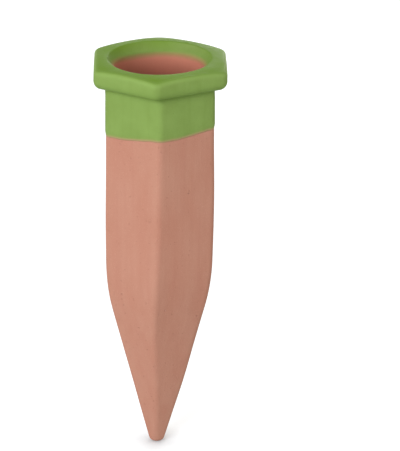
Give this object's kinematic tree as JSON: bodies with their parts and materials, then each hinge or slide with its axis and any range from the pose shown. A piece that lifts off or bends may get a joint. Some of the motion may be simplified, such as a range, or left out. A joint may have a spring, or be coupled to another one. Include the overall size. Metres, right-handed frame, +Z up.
{
  "type": "self watering spike",
  "caption": "Hollow six-sided terracotta watering spike with a pointed tip, a round mouth for an upturned bottle's neck and a flanged collar dipped in green glaze.",
  "frame": {"origin": "middle of the flange's glazed underside, which rests on the soil", "axes": "+Z up along the bore, out of the mouth; one upright edge of the body faces -Y, and flats face +X and -X"},
  "size_m": [0.057, 0.0646, 0.1825],
  "materials": {
    "terracotta": "matt unglazed fired clay",
    "green_glaze": "satin green glaze"
  },
  "bodies": {
    "root": {"terracotta_body": "terracotta", "glaze_coat": "green_glaze"}
  },
  "joints": []
}
